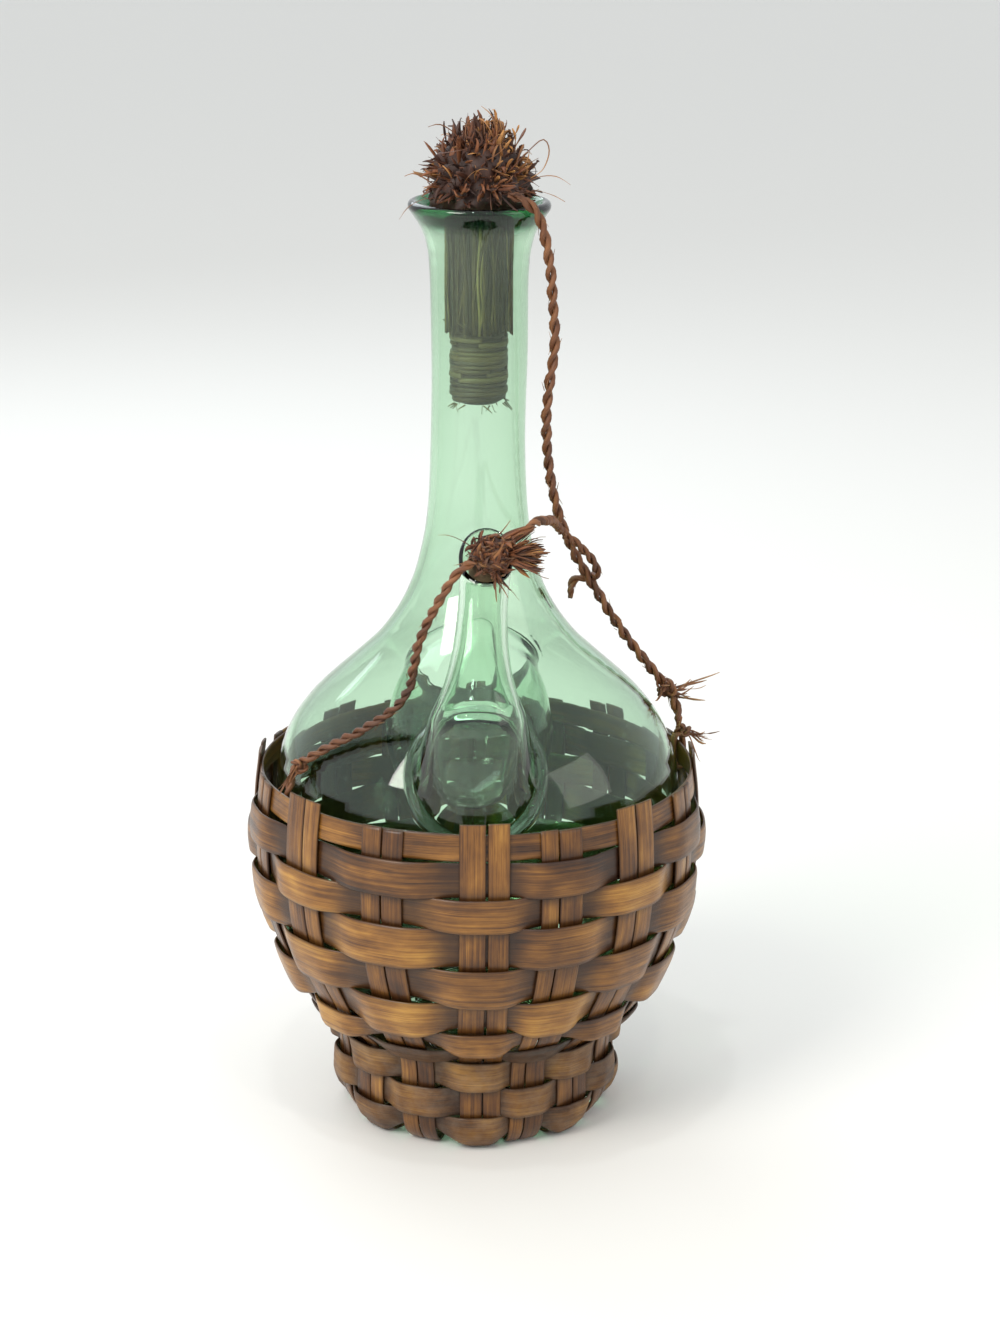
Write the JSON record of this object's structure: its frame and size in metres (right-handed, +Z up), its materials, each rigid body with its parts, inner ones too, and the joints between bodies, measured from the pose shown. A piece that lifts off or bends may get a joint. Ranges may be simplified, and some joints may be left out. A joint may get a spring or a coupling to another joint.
{
  "type": "wicker-covered glass decanter flask",
  "caption": "Long-necked blown glass flask with a front pouring spout and a rear ice pocket, in a splint-woven footed basket, with tied raffia stoppers.",
  "frame": {"origin": "centre of the basket's foot, on the surface that it stands on", "axes": "+Z up along the flask's axis, pouring spout towards -Y, neck cord on the +X side"},
  "size_m": [0.163, 0.163, 0.3574],
  "materials": {
    "green_glass": "clear mint green, hand blown",
    "cork": "matt cork",
    "plug_fibre": "dry olive-brown plant fibre",
    "tuft_fibre": "dyed reddish-brown raffia with golden ends",
    "raffia_cord": "two-ply twisted raffia",
    "splint_weaver": "stained and varnished wood splint",
    "splint_stake": "stained and varnished wood splint"
  },
  "bodies": {
    "root": {"glass_flask": "green_glass", "neck_cord": "raffia_cord", "spout_cord_left": "raffia_cord", "spout_cord_right": "raffia_cord", "rim_knot": "raffia_cord", "rim_lashing": "raffia_cord", "rim_weaver": "splint_weaver", "weaver_01": "splint_weaver", "weaver_02": "splint_weaver", "weaver_03": "splint_weaver", "weaver_04": "splint_weaver", "weaver_05": "splint_weaver", "weaver_06": "splint_weaver", "weaver_07": "splint_weaver", "weaver_08": "splint_weaver", "weaver_09": "splint_weaver", "weaver_10": "splint_weaver", "base_weaver_outer": "splint_weaver", "base_weaver_inner": "splint_weaver", "base_centre": "splint_stake", "stake_01": "splint_stake", "stake_02": "splint_stake", "stake_03": "splint_stake", "stake_04": "splint_stake", "stake_05": "splint_stake", "stake_06": "splint_stake", "stake_07": "splint_stake", "stake_08": "splint_stake", "stake_09": "splint_stake", "stake_10": "splint_stake", "stake_11": "splint_stake", "stake_12": "splint_stake", "stake_13": "splint_stake", "stake_14": "splint_stake", "stake_15": "splint_stake", "stake_16": "splint_stake"},
    "neck_stopper": {"neck_cork": "cork", "neck_fibre_sheath": "plug_fibre", "neck_winding": "plug_fibre", "neck_tuft": "tuft_fibre"},
    "spout_stopper": {"spout_cork": "cork", "spout_winding": "tuft_fibre", "spout_tuft": "tuft_fibre", "spout_bundle": "tuft_fibre"}
  },
  "joints": [
    {"name": "neck_stopper_pull", "type": "slide", "parent": "root", "child": "neck_stopper", "axis": [0, 0, 1], "range_m": [0, 0.072]},
    {"name": "spout_stopper_pull", "type": "slide", "parent": "root", "child": "spout_stopper", "axis": [0, 0, 1], "range_m": [0, 0.02]}
  ]
}
